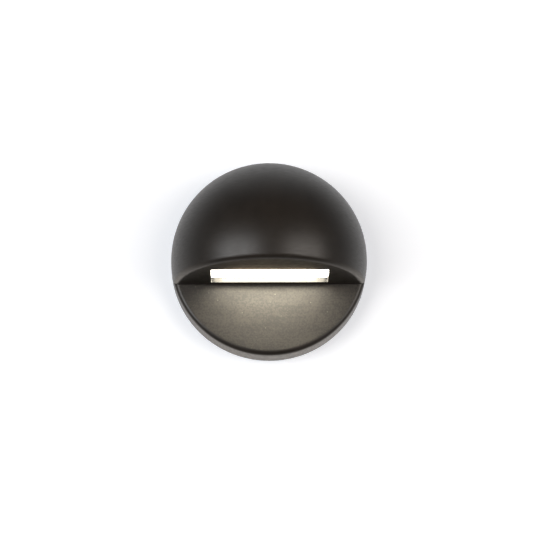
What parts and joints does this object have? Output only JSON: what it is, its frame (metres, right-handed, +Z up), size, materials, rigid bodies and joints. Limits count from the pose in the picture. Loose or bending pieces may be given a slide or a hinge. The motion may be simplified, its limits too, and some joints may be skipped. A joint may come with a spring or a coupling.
{
  "type": "deck light",
  "caption": "Round surface-mounted deck light with a half-dome eyelid hood, a down-facing lit window and a hidden twist-lock wall plate.",
  "frame": {"origin": "centre of the mounting face, midway between the two wall-screw holes, on the wall plane", "axes": "+Z up as installed, +Y into the wall, the hood and the lit window face -Y, +X to the viewer's right"},
  "size_m": [0.0762, 0.046, 0.0762],
  "materials": {
    "bronze_casting": "die-cast brass with a satin dark bronze finish",
    "frosted_lens": "frosted moulded glass",
    "black_silicone": "moulded black silicone",
    "stainless": "stamped stainless steel",
    "stainless_screws": "stainless steel fasteners",
    "white_plastic": "moulded white polycarbonate",
    "white_board": "metal-core board with white solder mask",
    "led_phosphor": "LED packages with yellow phosphor",
    "grey_pad": "thermal gap pad",
    "aluminium_plate": "milled aluminium",
    "lead_insulation": "insulated stranded wire",
    "green_board": "glass-epoxy board with green solder mask",
    "black_epoxy": "moulded epoxy package",
    "capacitor_can": "aluminium can",
    "ferrite_block": "moulded ferrite block",
    "brass_standoffs": "turned brass",
    "bronze_cover": "cast brass plate with the same dark bronze finish",
    "black_rubber": "moulded black rubber",
    "stainless_plate": "stamped stainless steel",
    "grey_foam": "closed-cell rubber ring"
  },
  "bodies": {
    "mount": {"mounting_plate": "stainless_plate"},
    "housing": {"hood_housing": "bronze_casting", "lens": "frosted_lens", "lens_gasket": "black_silicone", "lens_retainer": "stainless", "lens_retainer_screws": "stainless_screws", "reflector": "white_plastic", "led_board": "white_board", "led_emitters": "led_phosphor", "thermal_pad": "grey_pad", "heat_spreader": "aluminium_plate", "heat_spreader_screws": "stainless_screws", "led_leads": "lead_insulation", "driver_board": "green_board", "bridge_rectifier": "black_epoxy", "filter_capacitor": "capacitor_can", "buck_inductor": "ferrite_block", "driver_chip": "black_epoxy", "driver_standoffs": "brass_standoffs", "driver_board_screws": "stainless_screws", "rear_cover": "bronze_cover", "rear_cover_gasket": "black_silicone", "rear_cover_screws": "stainless_screws", "lead_grommet": "black_rubber", "wall_gasket": "grey_foam"}
  },
  "joints": [
    {"name": "housing_twist", "type": "hinge", "parent": "mount", "child": "housing", "pos_m": [0, 0, 0], "axis": [0, -1, 0], "range_deg": [0, 26]}
  ]
}
